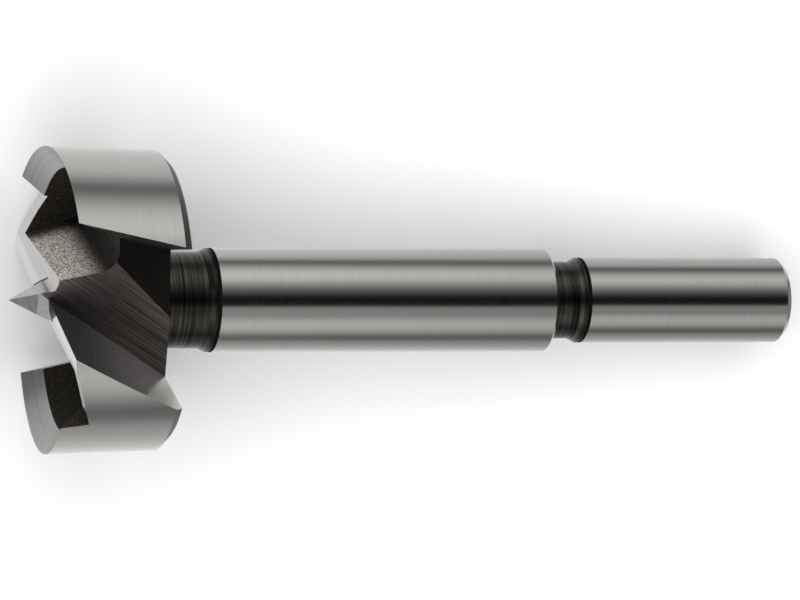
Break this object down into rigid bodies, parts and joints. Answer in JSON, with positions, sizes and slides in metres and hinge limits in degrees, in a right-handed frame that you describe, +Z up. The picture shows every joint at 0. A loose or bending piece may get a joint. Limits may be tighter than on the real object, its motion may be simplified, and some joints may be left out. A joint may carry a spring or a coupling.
{
  "type": "forstner bit",
  "caption": "Forstner bit with a stepped round shank, a wide head with scoring rims, cutting lips, chip throats and a square centre point, for flat-bottomed holes in wood.",
  "frame": {"origin": "centre of the bounding box in plan, on the flat surface that the bit rests on", "axes": "+X along the bit towards the end of its shank, +Z up, the centre point towards -X; the axis of the bit falls towards the shank by the angle at which it comes to rest"},
  "size_m": [0.0932, 0.035, 0.0335],
  "materials": {
    "tool_steel": "ground satin tool steel, dark and forged inside the head and in the turned grooves"
  },
  "bodies": {
    "root": {"forstner_bit": "tool_steel"}
  },
  "joints": []
}
